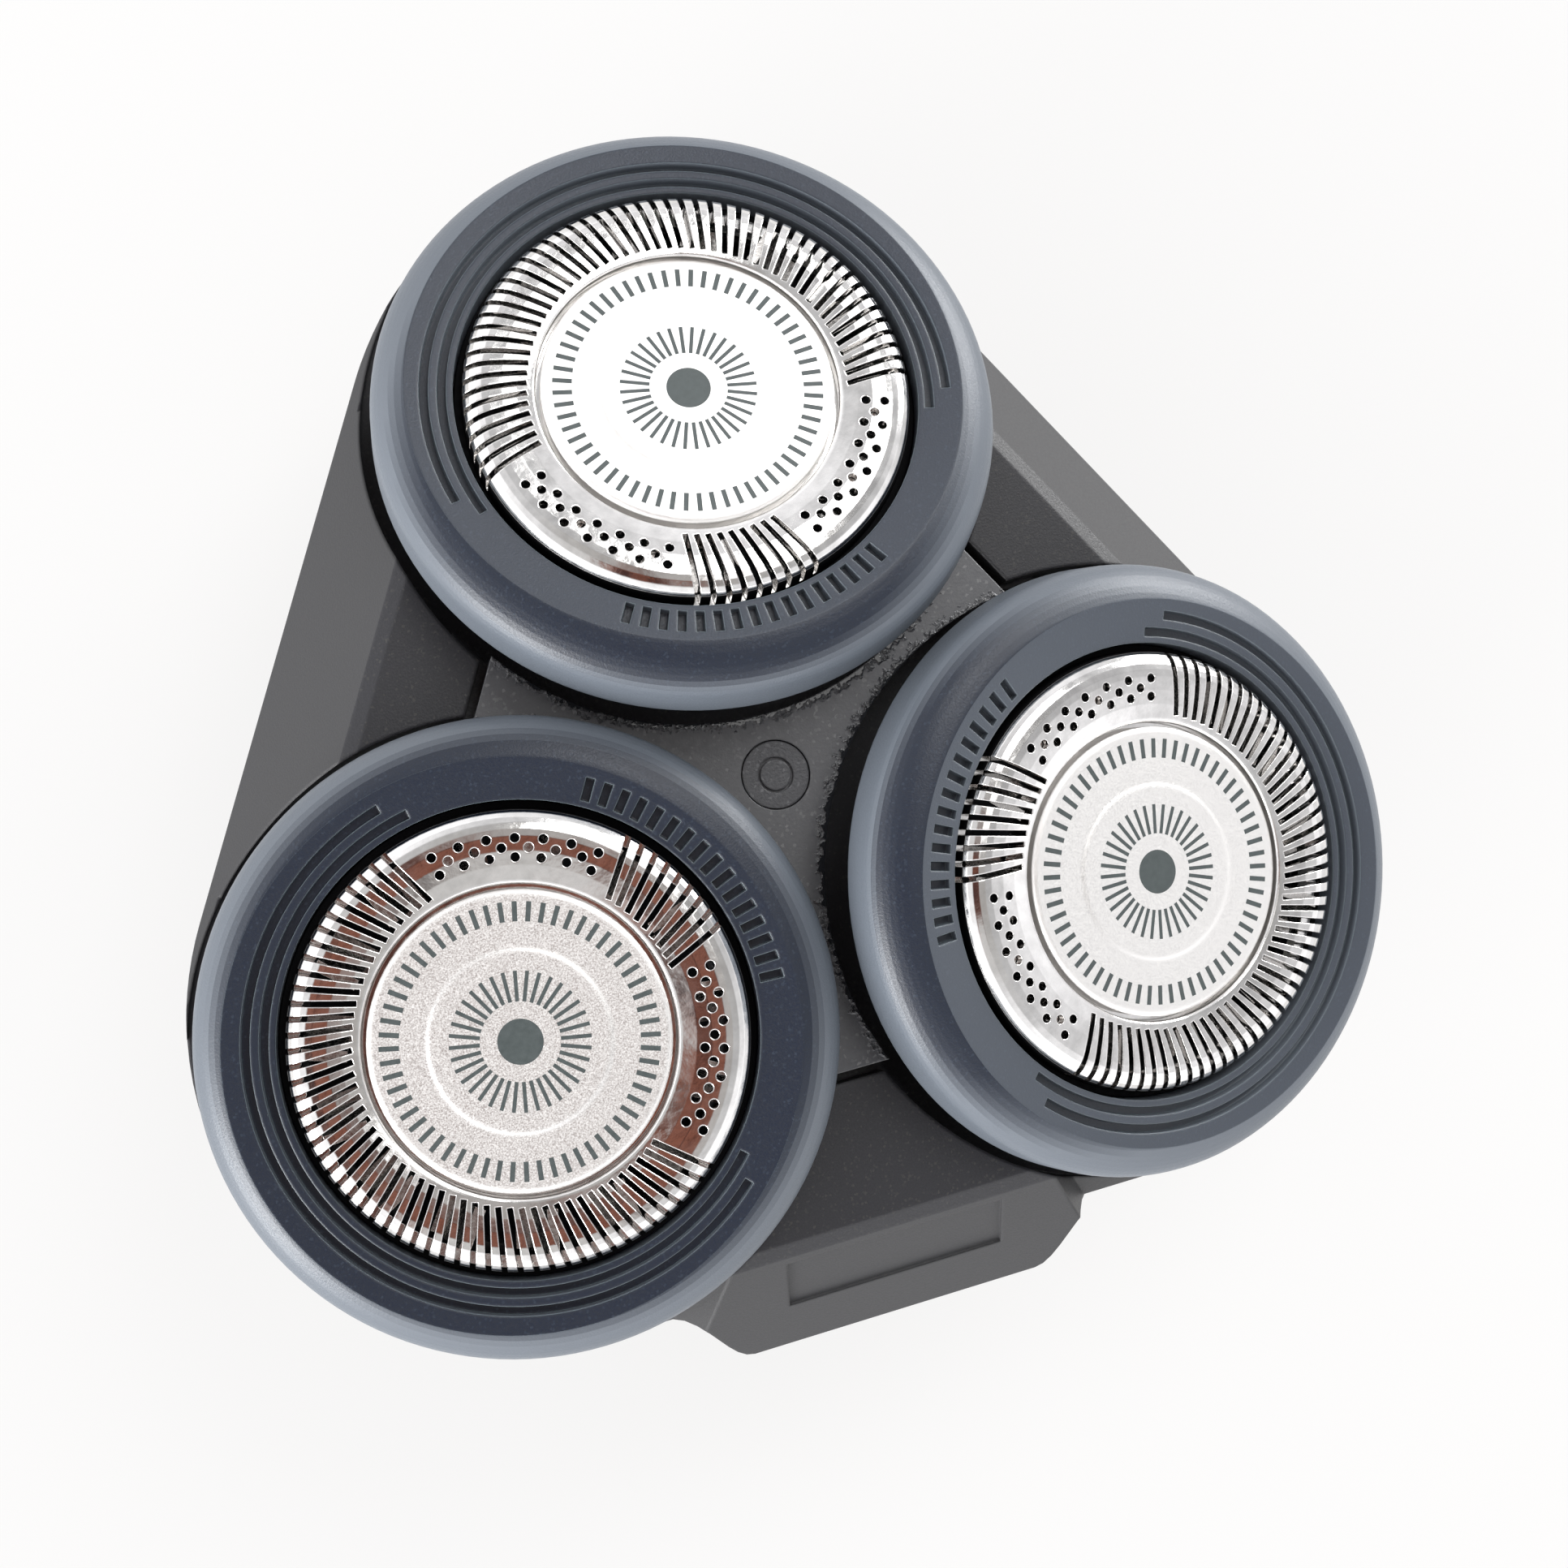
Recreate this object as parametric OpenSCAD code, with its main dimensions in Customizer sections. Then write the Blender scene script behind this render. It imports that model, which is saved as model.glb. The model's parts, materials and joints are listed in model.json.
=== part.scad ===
// Three-headed rotary shaving unit: a hinged head frame with three tilting shaving heads
// over a hair chamber, and a gearbox with a neck collar below it.
// Millimetres. The origin is the centre of the neck collar's lower face, and +Z points
// to the shaving side. Head 1 lies towards +Y, and heads 2 and 3 follow 120 degrees apart.

/* [Head positions] */
// Outward tilt of head 1, in degrees
head_tilt_1 = 16; // [0:1:18]
// Outward tilt of head 2, in degrees
head_tilt_2 = 7; // [0:1:18]
// Outward tilt of head 3, in degrees
head_tilt_3 = 16; // [0:1:18]

/* [Skin ring] */
// Outer radius of a skin ring
ring_r = 17; // [14:0.5:22]
// Gap between two neighbouring skin rings when they stand level
ring_gap = 0.3; // [0.2:0.05:0.6]
// Width of a skin ring from its bore to its outer edge
ring_band = 4.43; // [3.8:0.05:5.4]
// Height of the domed top over the outer edge
ring_dome_h = 2.33; // [1.8:0.05:2.8]
// Height of the skirt below the outer edge
ring_skirt_h = 1.75; // [1.2:0.05:2.1]
// Wall of the skirt
ring_wall = 1.3; // [1:0.05:1.5]
// Depth of the pivot axis under the outer edge
pivot_drop = 2.5; // [2.1:0.1:3]
// Radius of the pivot pins
pivot_pin_r = 0.75; // [0.6:0.05:0.9]
// Number of rib pockets on the inward side
rib_count = 16; // [10:1:20]
// Width of one rib pocket
rib_w = 0.48; // [0.3:0.02:0.6]
// Depth of the rib pockets and grooves
rib_depth = 0.55; // [0.3:0.05:0.7]
// Width of the two long grooves on the outward side
groove_w = 0.5; // [0.3:0.05:0.6]

/* [Guard] */
// Width of the slotted track
track_w = 3.4; // [2.8:0.1:4]
// Height of the track over the ring's outer edge
guard_h = 2.56; // [2.3:0.02:3]
// Thickness of the slotted track
track_t = 0.5; // [0.4:0.05:0.6]
// Width of one slot
slot_w = 0.31; // [0.2:0.01:0.35]
// Angle from one slot to the next
slot_pitch = 4; // [4:0.5:6]
// Slots in the long sector
long_slots = 51; // [30:1:53]
// Slots in the short sector
short_slots = 9; // [5:1:10]
// Sideways offset of a slot from the centre, which slants it
slot_slant = 2; // [1:0.1:2.4]
// Radius of a round hole
hole_r = 0.25; // [0.2:0.01:0.3]
// How far a guard can be pressed in
float_travel = 0.6; // [0.3:0.05:0.7]

/* [Cutter] */
// Number of blades
blade_count = 15; // [9:1:18]
// Thickness of one blade
blade_t = 0.5; // [0.4:0.05:0.7]
// Backward lean of a blade, in degrees
blade_lean = 30; // [10:1:35]
// Running gap between the blades and the track
blade_gap = 0.08; // [0.05:0.01:0.15]
// Radius of the cutter hub
hub_r = 3.4; // [3.2:0.1:4]

/* [Head frame] */
// Height of the head frame over the parting line
frame_h = 6.6; // [6.4:0.1:8]
// Height of the ring's outer edge over the top panel
ring_lift = 2.1; // [2.1:0.1:2.6]
// Width of the corners outside the rings
corner_margin = 1.8; // [1.5:0.1:2.4]
// How far the flanks lean in from the parting line to the fold
flank_run = 5.2; // [4:0.1:6]
// How far the thumb pad stands out
pad_out = 3.2; // [2.5:0.1:4]
// Half the width of the thumb pad
pad_half = 8.5; // [7.5:0.1:9.5]
// Wall of the mouldings
wall = 1.6; // [1.3:0.1:1.9]
// Distance of the arm seams from the centre
seam_u = 17; // [15:0.1:18]
// Width of the arm seams
seam_w = 0.55; // [0.3:0.05:0.7]
// Thickness of the star plate
star_t = 1.5; // [1.2:0.1:1.8]

/* [Hair chamber] */
// Height of the hair chamber below the parting line
chamber_h = 7.5; // [7.4:0.1:9]
// Thickness of the chamber floor
floor_t = 1.4; // [1.2:0.1:1.7]
// Height of the upright band under the parting line
band_h = 2; // [1.6:0.1:2.4]
// Radius of the hinge pin
hinge_pin_r = 0.7; // [0.6:0.05:0.85]
// Half the width of the release button
button_half = 6; // [5:0.1:7]
// Travel of the release button
button_travel = 1.2; // [1:0.1:1.4]

/* [Gears and spindles] */
// Teeth on the pinion, a multiple of three
pinion_teeth = 27; // [24:3:30]
// Teeth on each drive gear, an odd number
gear_teeth = 29; // [27:2:33]
// Width of the gear teeth
gear_face = 2.8; // [2.3:0.1:3.4]
// Play between meshing teeth
backlash = 0.14; // [0.1:0.01:0.2]
// Radius of the spindle shaft
spindle_r = 2.1; // [1.9:0.05:2.3]
// Side of the square spindle tip
tip_side = 1.6; // [1.3:0.05:1.6]
// Travel of a spindle
spindle_travel = 1.2; // [0.8:0.1:1.3]

/* [Neck] */
// Outer radius of the neck collar
collar_r = 17; // [15:0.5:18]
// Height of the neck collar
collar_h = 5; // [4.5:0.5:7]
// Wall of the neck collar
collar_wall = 2; // [1.5:0.1:2.4]
// Thickness of the gearbox plate
plate_t = 1.2; // [1.1:0.1:1.6]
// Radius of the drive socket
socket_r = 2.4; // [2:0.1:2.8]
// Depth of the drive socket
socket_depth = 4; // [3.4:0.1:4.4]

/* [Fits] */
// Radial play of shafts in their holes
shaft_play = 0.05; // [0.03:0.01:0.08]
// Gap between mouldings that lie against each other
fit_gap = 0.1; // [0.05:0.01:0.15]
// Gap round parts that swing or slide past each other
swing_gap = 0.3; // [0.2:0.05:0.35]

/* [Hidden] */
$fn = 96;
eps = 0.01;
far = 60;
tilts = [head_tilt_1, head_tilt_2, head_tilt_3];
HEADS = [0, 1, 2];
HEAD_AZ = [90, 210, 330];
SIDE_AZ = [30, 150, 270];
FRONT = 2;

// Plan of the heads, from the rings outwards
pivot_r = (2 * ring_r + ring_gap) / sqrt(3);
corner_in = 1.6;
corner_centre = pivot_r - corner_in;
corner_r = ring_r + corner_margin;
side_u = corner_centre / 2 + corner_r;
tip_y = corner_centre + corner_r;
well_centre = pivot_r + swing_gap;
well_r = ring_r + 0.4;

// Radii inside one shaving head
bore_r = ring_r - ring_band;
sleeve_t = 1.43;
sleeve_r = bore_r + sleeve_t;
cap_r = bore_r - 0.07;
guard_wall_r = cap_r - 0.4;
flange_r = cap_r + 0.8;
counter_r = flange_r + fit_gap;
guard_inner_r = guard_wall_r - track_w - 0.5;
insert_r = guard_inner_r - 0.26;
track_in_r = guard_inner_r + 0.45;
cutter_r = guard_wall_r - 0.9;
sleeve_bottom = -pivot_drop - 0.9;

// Lock notches in the neck collar
lock_depth = 0.8;
lock_w = 4;
lock_z = 0.7;
lock_h = 1.4;

// Heights from the neck collar upwards
z_gear = collar_h + plate_t + 0.4;
z_floor = z_gear + gear_face + 0.4;
z_part = z_floor + chamber_h;
z_top = z_part + frame_h;
z_ring = z_top + ring_lift;
pivot_z = z_ring - pivot_drop;
well_floor_z = z_part + 0.7;
well_floor_t = 1.4;
rim_z = well_floor_z + 0.4;
slope_z = z_part + 0.4;

// Gears
gear_module = 2 * pivot_r / (pinion_teeth + gear_teeth);
gear_tip_r = gear_module * (gear_teeth / 2 + 1);
housing_wall = 1.3;
housing_r = gear_tip_r + 0.4 + housing_wall + corner_in;
hub_tube_r = spindle_r + 1.1;
boss_r = hub_tube_r + 1.2;
boss_top = z_floor + floor_t + 2.4;
pinion_stub_r = 3;
pinion_hub_r = socket_r + 1.6;
screw_u = corner_centre / 2 + housing_r - housing_wall - 1.9;
screw_r = 0.9;
screw_head_r = 1.6;

// Hinge
hinge_r = hinge_pin_r + 0.8;
hinge_y = tip_y - hinge_r;
hinge_z = z_part - 1.3;
hinge_swing = norm([hinge_r, rim_z - hinge_z]) + 0.2;
knuckle_half = 2.8;
ear_w = 2;
hinge_notch = sqrt(pow(corner_r, 2) - pow(hinge_y - corner_centre, 2)) + 0.4;

// Places
module at_pivot(i) {
    rotate([0, 0, HEAD_AZ[i]]) translate([pivot_r, 0, 0]) children();
}
module at_head(i) {
    at_pivot(i) translate([0, 0, pivot_z]) rotate([0, tilts[i], 0])
        translate([0, 0, pivot_drop]) children();
}
module at_side(i) {
    rotate([0, 0, SIDE_AZ[i]]) children();
}
module round_heads(centre) {
    for (a = HEAD_AZ) rotate([0, 0, a]) translate([centre, 0, 0]) children();
}

// Outlines seen from above
module rounded_triangle(centre, r) {
    for (a = HEAD_AZ) rotate(a) translate([centre, 0]) circle(r);
    polygon([
        for (a = HEAD_AZ) for (s = [-60, 60])
            [centre * cos(a) + r * cos(a + s), centre * sin(a) + r * sin(a + s)]
    ]);
}
// The thumb pad's outline, with S-shaped ends that run out into the front side
pad_blend = 4;
pad_root = side_u - 6;
function pad_step(t) = pad_out * (1 + cos(180 * t)) / 2;
module pad_outline(grow = 0) {
    ends = [for (t = [0:0.125:1]) [pad_half + pad_blend * t, side_u + pad_step(t) + grow]];
    mirror([0, 1]) polygon(concat(
        [[-pad_half - pad_blend, pad_root]],
        [for (i = [len(ends) - 1:-1:0]) [-ends[i][0], ends[i][1]]],
        ends,
        [[pad_half + pad_blend, pad_root]]
    ));
}
// Star with an arm to each side, hollowed by the three wells
arm_half = 8;
module star_outline(reach, hollow_r) {
    difference() {
        for (a = SIDE_AZ) rotate(a) translate([0, -arm_half]) square([reach, 2 * arm_half]);
        for (a = HEAD_AZ) rotate(a) translate([pivot_r + 0.5, 0]) circle(hollow_r);
    }
}

// Skin ring: a domed ring with a skirt, a sleeve for the guard and two pivot pins
dome_run = 3.4;
function dome_z(r) = ring_dome_h * sqrt(1 - pow(1 - (ring_r - r) / dome_run, 2));
// The flat dish cut into the dome, tipped towards the outward side
dish_slope = 0.112;
dish_tilt = 0.68;
dish_r = bore_r + 2.6;
dish_z = dome_z(dish_r) + 0.03;
function dish_at(r) = dish_z + dish_slope * (r - dish_r);
module ring_body() {
    dome = [for (t = [0:7.5:75]) ring_r - dome_run * (1 - cos(t))];
    rotate_extrude() polygon(concat(
        [[ring_r, -ring_skirt_h]],
        [for (r = dome) [r, dome_z(r)]],
        [[bore_r, dome_z(dome[10])]],
        [[bore_r, -0.1], [counter_r, -0.1]],
        [[counter_r, sleeve_bottom], [sleeve_r, sleeve_bottom]],
        [[sleeve_r, 0.8], [ring_r - ring_wall, 0.1], [ring_r - ring_wall, -ring_skirt_h]]
    ));
}
// The two long grooves: distance from the bore, and half the angle they run through
grooves = [[0.35, 108.5], [1.3, 103.5]];
module groove(r, half_angle) {
    rotate([0, 0, -half_angle]) rotate_extrude(angle = 2 * half_angle)
        translate([r, dish_at(r) - rib_depth]) square([groove_w, rib_depth + 2]);
}
rib_pitch = 4.05;
rib_length = 1.25;
module rib_pocket(turns) {
    rotate([0, 0, 180 + turns * rib_pitch])
        translate([bore_r + grooves[0][0], -rib_w / 2, dish_at(bore_r + 1) - rib_depth])
            cube([rib_length, rib_w, 2]);
}
module skin_ring(i) {
    color([0.23, 0.27, 0.31]) at_head(i) {
        difference() {
            ring_body();
            rotate([0, dish_tilt, 0]) {
                rotate_extrude() polygon([
                    [0, dish_at(0)], [ring_r + 2, dish_at(ring_r + 2)], [ring_r + 2, 8], [0, 8]
                ]);
                for (g = grooves) groove(bore_r + g[0], g[1]);
                for (j = [0:rib_count - 1]) rib_pocket(j - (rib_count - 1) / 2);
            }
        }
        for (s = [-1, 1]) translate([0, s * (sleeve_r - 0.3), -pivot_drop])
            rotate([-90 * s, 0, 0]) cylinder(h = post_t + swing_gap + 0.3, r = pivot_pin_r);
    }
}

// Guard: the slotted cap that rests on the skin, with a crowned track
guard_foot = -1;
guide_top = 0.6;
seat_z = guard_h - 1.36;
slot_depth = 1.85;
module guard_body() {
    crown_r = guard_wall_r - 1.4;
    shoulder_h = 0.95;
    inner_drop = 0.26;
    lip = 0.24;
    web_r = guard_inner_r - 1.6;
    web_z = seat_z - 0.6;
    inside_r = guard_wall_r - 0.7;
    rotate_extrude() polygon(concat(
        [[guard_wall_r - 0.55, guard_foot], [flange_r, guard_foot]],
        [[flange_r, -0.25], [cap_r, -0.25], [cap_r, guide_top], [guard_wall_r, guide_top]],
        [for (t = [0:15:90])
            [crown_r + (guard_wall_r - crown_r) * cos(t), guard_h - shoulder_h * (1 - sin(t))]],
        [for (t = [1:2])
            [crown_r + (guard_inner_r + lip - crown_r) * t / 3, guard_h - inner_drop * t * t / 9]],
        [for (t = [90:-30:0])
            [guard_inner_r + lip * (1 - cos(t)), guard_h - inner_drop - lip * (1 - sin(t))]],
        [[guard_inner_r, seat_z], [web_r, seat_z], [web_r, web_z], [track_in_r, web_z]],
        [[track_in_r, guard_h - track_t], [inside_r, guard_h - track_t], [inside_r, 0]]
    ));
}
module guard_slot(angle) {
    mid_turn = asin(slot_slant / (guard_wall_r - track_w / 2));
    start = sqrt(pow(track_in_r, 2) - pow(slot_slant, 2));
    rotate([0, 0, angle + mid_turn])
        translate([start, -slot_slant - slot_w / 2, guard_h - slot_depth])
            cube([track_w + 1, slot_w, slot_depth + 1]);
}
// Three rows of holes, seven, six and seven, staggered
hole_pitch = 8;
hole_row_step = 0.5;
module guard_holes() {
    row_mid = guard_wall_r - 2;
    for (row = [-1, 0, 1]) {
        count = row == 0 ? 6 : 7;
        for (j = [0:count - 1]) rotate([0, 0, (j - (count - 1) / 2) * hole_pitch])
            translate([row_mid + hole_row_step * row, 0, guard_h - 1])
                cylinder(h = 2, r = hole_r);
    }
}
module guard(i) {
    color([0.85, 0.85, 0.86]) at_head(i) difference() {
        guard_body();
        for (j = [0:long_slots - 1]) guard_slot((j - (long_slots - 1) / 2) * slot_pitch);
        for (j = [0:short_slots - 1])
            guard_slot(180 + (j - (short_slots - 1) / 2) * slot_pitch);
        for (s = [-1, 1]) rotate([0, 0, 133 * s]) guard_holes();
    }
}

// Guard insert: the disc in the middle of the guard, with the spigot that centres the cutter
spigot_r = 1;
module guard_insert(i) {
    top = guard_h - 0.18;
    rim = top - 0.06;
    plateau_r = 4.7;
    color([0.88, 0.88, 0.87]) at_head(i) rotate_extrude() polygon([
        [0, -0.9], [spigot_r, -0.9], [spigot_r, seat_z], [insert_r, seat_z],
        [insert_r, rim - 0.14], [insert_r - 0.2, rim], [plateau_r + 0.2, rim],
        [plateau_r, top], [0, top]
    ]);
}

// Cutter: a stamped steel star with upright blades that run under the track
plate_hole_r = 2.2;
cutter_t = 0.6;
arm_w = 1.4;
module cutter(i) {
    blade_in = track_in_r + 0.2;
    blade_top = guard_h - track_t - blade_gap;
    color([0.72, 0.73, 0.75]) at_head(i) difference() {
        union() {
            translate([0, 0, -cutter_t / 2]) cylinder(h = cutter_t, r = track_in_r - 0.6);
            for (j = [0:blade_count - 1]) rotate([0, 0, j * 360 / blade_count]) {
                translate([track_in_r - 1.2, -arm_w / 2, -cutter_t / 2])
                    cube([cutter_r - track_in_r + 1.1, arm_w, cutter_t]);
                intersection() {
                    translate([blade_in, 0, -0.2]) rotate([-blade_lean, 0, 0])
                        translate([0, -blade_t / 2, 0])
                            cube([cutter_r - blade_in, blade_t, 4]);
                    translate([0, -5, -0.2]) cube([far, 10, blade_top + 0.2]);
                }
            }
        }
        translate([0, 0, -1]) cylinder(h = 2, r = plate_hole_r);
    }
}

// Cutter hub: carries the cutter, turns on the insert's spigot, takes the spindle tip
hub_bottom = -pivot_drop - 2;
socket_top = -pivot_drop + 1.1;
socket_side = 3.5;
module cutter_hub(i) {
    color([0.15, 0.15, 0.16]) at_head(i) difference() {
        union() {
            translate([0, 0, hub_bottom]) cylinder(h = -cutter_t / 2 - hub_bottom, r = hub_r);
            translate([0, 0, -cutter_t / 2 - eps])
                cylinder(h = cutter_t + 0.1, r = plate_hole_r - shaft_play);
        }
        translate([0, 0, hub_bottom - 1]) cylinder(h = 2.1, r = 2.4);
        translate([-socket_side / 2, -socket_side / 2, hub_bottom - 1])
            cube([socket_side, socket_side, socket_top - hub_bottom + 1]);
        translate([0, 0, -1]) cylinder(h = 2, r = spigot_r + shaft_play);
    }
}

// Retaining ring: snaps into the sleeve from below and holds the guard's flange
module retaining_ring(i) {
    top = guard_foot - float_travel - fit_gap;
    color([0.18, 0.19, 0.2]) at_head(i) difference() {
        translate([0, 0, sleeve_bottom])
            cylinder(h = top - sleeve_bottom, r = counter_r - fit_gap / 2);
        translate([0, 0, sleeve_bottom - 1]) cylinder(h = 6, r = guard_wall_r - 0.9);
        // notches for the fitting tool
        for (j = HEADS) rotate([0, 0, 120 * j])
            translate([guard_wall_r - 2, -1.5, sleeve_bottom - 1]) cube([2, 3, 1.7]);
    }
}

// Head frame: the moulding with three wells that carries the heads
post_gap = swing_gap;
post_t = ring_band - sleeve_t - ring_wall - 2 * post_gap - 0.1;
post_top_r = pivot_pin_r + 0.85;
// Everything outside a plane that rises from u at the parting line by run to the fold,
// with a small chamfer along the fold
module slope_cut(u, run, shift) {
    rise = z_top - slope_z;
    slope = atan2(rise, run);
    translate([u - shift / sin(slope), 0, slope_z]) rotate([0, slope - 90, 0])
        translate([0, -far, -10]) cube([far, 2 * far, 2 * far]);
    translate([u - run - 0.5, 0, z_top - shift]) rotate([0, slope / 2, 0])
        translate([-10, -far, 0]) cube([far, 2 * far, far]);
}
pad_facet_half = 6.3;
// Outer form of the frame, shrunk by shift on every sloped and upright face
module frame_form(shift) {
    difference() {
        translate([0, 0, z_part]) linear_extrude(frame_h - shift)
            rounded_triangle(corner_centre, corner_r - shift);
        for (i = HEADS) at_side(i) slope_cut(side_u, flank_run, shift);
    }
    // thumb pad, hipped at both ends
    difference() {
        translate([0, 0, z_part]) linear_extrude(frame_h - shift) pad_outline(-shift);
        at_side(FRONT) slope_cut(side_u + pad_out, flank_run + 0.6, shift);
        for (s = [0, 180]) rotate([0, 0, s]) slope_cut(pad_half + pad_blend, 3.2, shift);
    }
}
module flank_cavity() {
    difference() {
        translate([0, 0, -eps]) frame_form(wall);
        round_heads(well_centre) cylinder(h = far, r = well_r + 1.2);
        cylinder(h = far, r = seam_u + 2);
    }
}
module pivot_post() {
    half = post_top_r;
    translate([0, sleeve_r + post_gap, 0]) difference() {
        union() {
            translate([-half, 0, well_floor_z - eps])
                cube([2 * half, post_t, pivot_z - well_floor_z]);
            translate([0, 0, pivot_z]) rotate([-90, 0, 0]) cylinder(h = post_t, r = half);
        }
        translate([0, -1, pivot_z]) rotate([-90, 0, 0])
            cylinder(h = post_t + 2, r = pivot_pin_r + shaft_play);
    }
}
module hinge_bar(half, r) {
    translate([-half, hinge_y, hinge_z]) rotate([0, 90, 0]) cylinder(h = 2 * half, r = r);
}
module hinge_ears() {
    for (s = [0, 1]) mirror([s, 0, 0]) translate([knuckle_half + 0.2, 0, 0]) {
        translate([0, hinge_y, hinge_z]) rotate([0, 90, 0]) cylinder(h = ear_w, r = hinge_r);
        translate([0, hinge_y - hinge_r, hinge_z])
            cube([ear_w, 2 * hinge_r - 0.3, rim_z - hinge_z]);
    }
}
pin_head_r = 1.87;
pin_head_t = 0.7;
pin_shank_r = 1.2;
catch_u = side_u - 2.6;
catch_drop = 3.4;
rim_start = 6;
well_hole_r = sleeve_r - 1.8;
module head_frame() {
    star_z = z_top - star_t - fit_gap / 2;
    color([0.2, 0.2, 0.21]) difference() {
        union() {
            difference() {
                frame_form(0);
                flank_cavity();
                translate([0, 0, well_floor_z]) round_heads(well_centre)
                    cylinder(h = far, r = well_r);
                translate([0, 0, z_part - 1]) round_heads(well_centre)
                    cylinder(h = far, r = well_hole_r);
                // level rim round the outer half of each well
                for (i = HEADS) at_pivot(i) translate([rim_start, -far, rim_z])
                    cube([far, 2 * far, far]);
                // seat of the star plate
                for (i = HEADS) at_side(i) translate([-1, -arm_half, star_z])
                    cube([seam_u + seam_w / 2 + 1, 2 * arm_half, far]);
            }
            // floors of the wells, which stand into the hair chamber
            difference() {
                translate([0, 0, well_floor_z - well_floor_t]) linear_extrude(well_floor_t)
                    intersection() {
                        rounded_triangle(corner_centre, corner_r - wall - swing_gap);
                        for (a = HEAD_AZ) rotate(a) translate([well_centre, 0])
                            circle(well_r + 1);
                    }
                round_heads(well_centre) cylinder(h = far, r = well_hole_r);
            }
            translate([0, 0, well_floor_z - well_floor_t])
                linear_extrude(star_z - well_floor_z + well_floor_t)
                    star_outline(seam_u + 2, ring_r + 0.1);
            for (i = HEADS) at_pivot(i) {
                pivot_post();
                mirror([0, 1, 0]) pivot_post();
            }
            hinge_ears();
            // prong of the front catch
            translate([-2, -catch_u, z_part - catch_drop])
                cube([4, 0.9, catch_drop + frame_h - wall]);
            translate([-2, -catch_u + 0.9 - eps, z_part - catch_drop]) cube([4, 0.8, 0.4]);
        }
        hinge_bar(far, hinge_pin_r + shaft_play);
        // room for the chamber's hinge knuckle and trough
        translate([-knuckle_half - 0.2, hinge_y - hinge_r - 1, 0])
            cube([2 * knuckle_half + 0.4, 20, rim_z + 1]);
        difference() {
            translate([-hinge_notch - 1.6, hinge_y - hinge_swing - 1.4, z_part - 5])
                cube([2 * hinge_notch + 3.2, 20, 5 + 0.05]);
            hinge_ears();
        }
        cylinder(h = far, r = pin_shank_r + shaft_play);
        translate([-pad_facet_half, 0, 0]) pad_facet();
    }
}
// Shallow facet sunk into the slope of the thumb pad
module pad_facet() {
    run = flank_run + 0.6;
    slope = atan2(z_top - slope_z, run);
    length = norm([run, z_top - slope_z]);
    translate([0, -side_u - pad_out, slope_z]) rotate([slope - 90, 0, 0])
        translate([0, -1, 0.42 * length]) cube([2 * pad_facet_half, 1.25, 0.46 * length]);
}

// Star plate and the pin that holds it
module star_plate() {
    color([0.17, 0.18, 0.18]) difference() {
        translate([0, 0, z_top - star_t]) linear_extrude(star_t)
            star_outline(seam_u - seam_w / 2, ring_r - 0.1);
        translate([0, 0, z_top - pin_head_t]) cylinder(h = 2, r = pin_head_r + 0.07);
        cylinder(h = far, r = pin_shank_r + shaft_play);
    }
}
module centre_pin() {
    color([0.19, 0.2, 0.2]) difference() {
        union() {
            translate([0, 0, z_top - pin_head_t]) cylinder(h = pin_head_t - 0.05, r = pin_head_r);
            translate([0, 0, well_floor_z])
                cylinder(h = z_top - pin_head_t - well_floor_z + eps, r = pin_shank_r);
        }
        translate([0, 0, z_top - 0.25]) difference() {
            cylinder(h = 1, r = 1);
            translate([0, 0, -1]) cylinder(h = 3, r = 0.85);
        }
    }
}

// Hair chamber: the lower shell, with the spindle bosses, the hinge and the button's window
window_z = z_floor + floor_t + 0.3;
window_h = 3.5;
spring_back_u = side_u - 10.7;
flare_run = corner_r - housing_r;
// Everything outside the chamber's flared lower walls
corner_cone_in = 14;
module flare_cut(inset) {
    rise = chamber_h - band_h;
    slope = flare_run / rise;
    // 0.3 keeps the cone's rim off the corner's own wall
    bottom = tip_y - flare_run - corner_cone_in - inset;
    top = bottom + flare_run + 0.3;
    profile = [
        [bottom - slope, z_floor - 1], [top + slope, z_floor + rise + 1],
        [far, z_floor + rise + 1], [far, z_floor - 1]
    ];
    round_heads(corner_cone_in) rotate([0, 0, -60]) rotate_extrude(angle = 120) polygon(profile);
    for (i = HEADS) at_side(i) translate([side_u - inset, 0, z_part - band_h])
        rotate([0, atan(slope), 0]) translate([0, -far, -far]) cube([far, 2 * far, far]);
}
// Outer form of the chamber, shrunk by inset on every wall
module chamber_solid(inset) {
    difference() {
        translate([0, 0, z_floor]) linear_extrude(chamber_h - fit_gap)
            rounded_triangle(corner_centre, corner_r - inset);
        flare_cut(inset);
    }
}
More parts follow.
